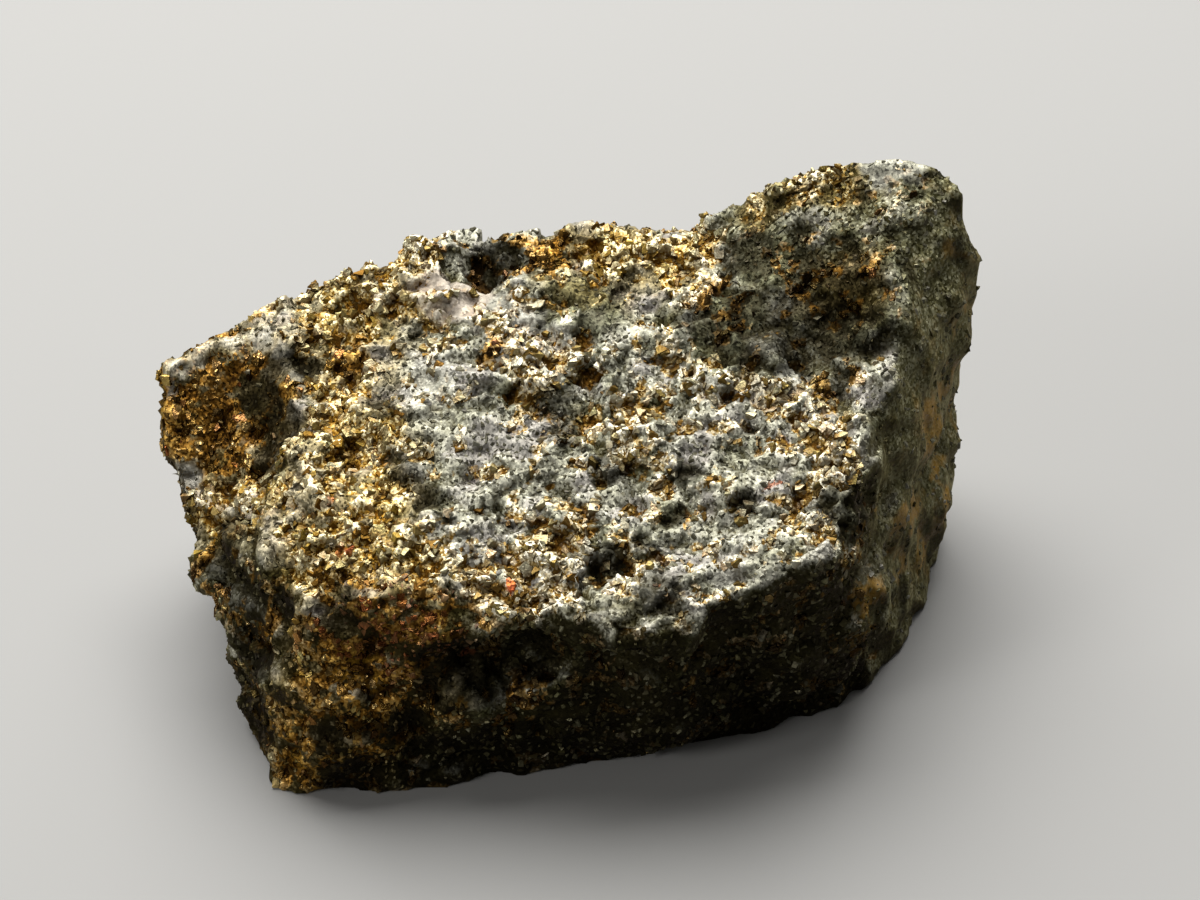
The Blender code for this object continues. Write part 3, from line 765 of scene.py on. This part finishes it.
fresh = scatter("pyrite_grains", 0.32,
                {"pyrite": (0.25, 0.8), "tarnish": (0.9, 0.2), "gangue": (1.5, 0.2)},
                (0.2, 0.8), 0.31, 1)
brown = scatter("tarnished_pyrite_grains", 0.4,
                {"pyrite": (0.3, 0.9), "tarnish": (0.1, 0.8), "gangue": (0.6, 0.2)},
                (0.25, 0.75), 0.27, 21)
grit = scatter("side_grit", 0.42,
               {"side": (0.0, 1.0), "light": (1.0, 0.2), "gangue": (0.6, 0.2)},
               (0.2, 0.5), 0.25, 61)
grey = scatter("magnetite_grains", 0.36,
               {"pyrite": (0.75, 0.2), "silver": (-0.2, 0.9), "light": (1.5, 0.2), "gangue": (0.6, 0.2)},
               (0.16, 0.46), 0.27, 41)


# Pyrite on a fresh break is pale brass metal whose flat faces flash cream, brown or red-filmed in
# the hollows and in front. Magnetite is iron-grey, and the grit on the sides is dull. A grain has
# one tone, with painted shade at its foot and where it sits low. Its etching, hundredths of a mm
# across, is drawn coarser to show.
ETCHING = 0.16
SPECK = 0.35


def grain_metal(name, metallic, foot_shade, pale, golden, roughness, etching):
    """A metal whose colour runs through the pale or the golden hex stops by each grain's tone.

    The fourth argument is painted shade, the colour at a grain's foot; roughness is its range of
    roughness, and etching how deep it is in mm.
    """
    metal = bpy.data.materials.new(name)
    metal.use_nodes = True
    coat = metal.node_tree
    tone, golden_share, green, darkness, film, stand, raised = [
        add_node(coat, "ShaderNodeAttribute", {}, attribute_name=mark).outputs["Fac"]
        for mark in ("tone", "golden", "green", "dark", "film", "stand", "raised")
    ]
    where = add_node(coat, "ShaderNodeTexCoord", {}).outputs["Object"]
    specks = add_node(coat, "ShaderNodeTexNoise",
                      {"Vector": where, "Scale": 1 / (SPECK * MM), "Detail": 2.0}).outputs["Fac"]
    pale = add_node(coat, "ShaderNodeValToRGB", {"Fac": tone}, pale).outputs["Color"]
    golden = add_node(coat, "ShaderNodeValToRGB", {"Fac": tone}, golden).outputs["Color"]
    shade = add_node(coat, "ShaderNodeMix", {"Factor": golden_share, "A": pale, "B": golden},
                     data_type="RGBA").outputs["Result"]
    greened = add_node(coat, "ShaderNodeMix", {"Factor": 1.0, "A": shade, "B": "#cbcfb6"},
                       data_type="RGBA", blend_type="MULTIPLY").outputs["Result"]
    shade = add_node(coat, "ShaderNodeMix", {"Factor": green, "A": shade, "B": greened},
                     data_type="RGBA").outputs["Result"]
    shade = add_node(coat, "ShaderNodeMix", {"Factor": film, "A": shade, "B": "#c4653c"},
                     data_type="RGBA").outputs["Result"]
    # Painted shade: a grain low on the skin and near its own foot takes the foot colour.
    unshaded = add_node(coat, "ShaderNodeMath", {0: raised, 1: 0.5, 2: stand}, operation="MULTIPLY_ADD")
    unshaded = add_node(coat, "ShaderNodeMath", {0: specks, 1: 0.7, 2: unshaded.outputs[0]},
                     operation="MULTIPLY_ADD")
    unshaded = add_node(coat, "ShaderNodeMapRange",
                     {"Value": unshaded.outputs[0], "From Min": 0.45, "From Max": 0.95, "To Min": 0.1}
                     ).outputs["Result"]
    shade = add_node(coat, "ShaderNodeMix", {"Factor": unshaded, "A": foot_shade, "B": shade},
                     data_type="RGBA").outputs["Result"]
    # Painted shade: the dark mark dims the grains in the hollows and on the front, as on the ore.
    dimmed = add_node(coat, "ShaderNodeMapRange",
                      {"Value": darkness, "From Min": 0.1, "From Max": 1.0,
                       "To Min": 1.0, "To Max": 0.2}).outputs["Result"]
    shade = add_node(coat, "ShaderNodeMix", {"Factor": 1.0, "A": shade, "B": dimmed},
                     data_type="RGBA", blend_type="MULTIPLY").outputs["Result"]
    surface = coat.nodes["Principled BSDF"]
    coat.links.new(shade, surface.inputs["Base Color"])
    surface.inputs["Metallic"].default_value = metallic
    surface.inputs["Specular Tint"].default_value = linear("#d2c08e")
    dull = add_node(coat, "ShaderNodeMapRange",
                    {"Value": specks, "From Min": 0.3, "From Max": 0.7,
                     "To Min": roughness[0], "To Max": roughness[1]})
    coat.links.new(dull.outputs["Result"], surface.inputs["Roughness"])
    etched = add_node(coat, "ShaderNodeTexNoise",
                      {"Vector": where, "Scale": 1 / (ETCHING * MM), "Detail": 1.0})
    bump = add_node(coat, "ShaderNodeBump",
                    {"Height": etched.outputs["Fac"], "Distance": etching * MM, "Strength": 1.0})
    coat.links.new(bump.outputs["Normal"], surface.inputs["Normal"])
    return metal


fresh.data.materials.append(grain_metal(
    "pyrite_fresh_broken", 0.85, "#5c3f16",
    [(0.0, "#614822"), (1.0, "#bca685"), (0.2, "#877748"), (0.45, "#a69f82"), (0.85, "#c1beaa")],
    [(0.0, "#5f4213"), (1.0, "#bd9a62"), (0.2, "#877031"), (0.45, "#a99b6e"), (0.85, "#c5bd99")],
    (0.38, 0.6), 0.07))
brown.data.materials.append(grain_metal(
    "pyrite_tarnished", 0.8, "#33210a",
    [(0.0, "#33261a"), (1.0, "#8f4a3a"), (0.35, "#5c442a"), (0.7, "#86683c"), (0.93, "#c2a670")],
    [(0.0, "#33270f"), (1.0, "#a05c2c"), (0.35, "#5f4719"), (0.68, "#8f6c30"), (0.86, "#d0b070")],
    (0.14, 0.36), 0.1))
grit.data.materials.append(grain_metal(
    "chlorite_and_magnetite_grit", 0.4, "#2b2713",
    [(0.0, "#28250f"), (1.0, "#7d7860"), (0.4, "#4a462b"), (0.75, "#77725a"), (0.92, "#a09c82")],
    [(0.0, "#2f210c"), (1.0, "#9c6530"), (0.4, "#543a16"), (0.75, "#82602a"), (0.92, "#c8a868")],
    (0.25, 0.55), 0.08))
grey.data.materials.append(grain_metal(
    "magnetite_crystal", 0.45, "#454232",
    [(0.0, "#48463a"), (1.0, "#6b6864"), (0.4, "#5c5b50"), (0.75, "#777569"), (0.92, "#94928a")],
    [(0.0, "#4c442c"), (1.0, "#706342"), (0.4, "#63573a"), (0.75, "#827658"), (0.92, "#a0947a")],
    (0.45, 0.7), 0.07))
for shape in list(crystal_shapes.objects):
    bpy.data.objects.remove(shape)
bpy.data.collections.remove(crystal_shapes)

# The table top under the lump: plain pale board, matt, lying level under its foot. It is there
# to take the light and the shadow, and isn't part of the object.
TABLE_WIDTH = 6.0
bpy.ops.object.select_all(action="DESELECT")
bpy.ops.mesh.primitive_plane_add(size=TABLE_WIDTH, location=(0.0, 0.0, 0.0))
floor = bpy.context.object
floor.name = "floor"
board = bpy.data.materials.new("pale_board")
board.use_nodes = True
board.node_tree.nodes["Principled BSDF"].inputs["Base Color"].default_value = linear("#807f7c")
board.node_tree.nodes["Principled BSDF"].inputs["Roughness"].default_value = 0.8
floor.data.materials.append(board)

# One broad lamp high behind the lump and a little to the left, a weak one low in front at the
# left to open the shadows, and a dim even room. Each lamp is (name, where it stands as seen from
# the lump, distance and width in metres, watts).
LAMPS = [
    ("lamp_behind", (-0.10, 0.53, 0.85), 0.45, 0.5, 7.8),
    ("lamp_front", (-0.75, -0.5, 0.45), 0.6, 0.15, 1.42),
]
aim = Vector((0.0, 0.0, 12.0)) * MM
for lamp_name, towards, distance, width, power in LAMPS:
    lamp = bpy.data.lights.new(lamp_name, "AREA")
    lamp.size = width
    lamp.energy = power
    lamp_stand = bpy.data.objects.new(lamp_name, lamp)
    bpy.context.scene.collection.objects.link(lamp_stand)
    away = Vector(towards).normalized()
    lamp_stand.location = aim + away * distance
    lamp_stand.rotation_euler = away.to_track_quat("Z", "Y").to_euler()
room = bpy.data.worlds.new("room")
room.use_nodes = True
room.node_tree.nodes["Background"].inputs["Color"].default_value = (1.0, 0.99, 0.97, 1.0)
room.node_tree.nodes["Background"].inputs["Strength"].default_value = 0.165
bpy.context.scene.world = room

# The camera stands 300 mm off and looks down at the front of the lump from 40 degrees, with a
# long lens, so that the lump fills the middle of the frame.
SLOPE = math.radians(40.0)
DISTANCE = 0.3
LENS = 142.2
lens = bpy.data.cameras.new("camera")
lens.sensor_width = 36.0
lens.lens = LENS
lens.clip_start = 0.01
camera = bpy.data.objects.new("camera", lens)
bpy.context.scene.collection.objects.link(camera)
target = Vector((1.96, 1.04, 13.0)) * MM
camera.location = target + Vector((0.0, -math.cos(SLOPE), math.sin(SLOPE))) * DISTANCE
camera.rotation_euler = (math.radians(90.0) - SLOPE, 0.0, 0.0)
bpy.context.scene.camera = camera
bpy.context.scene.view_settings.view_transform = "Standard"
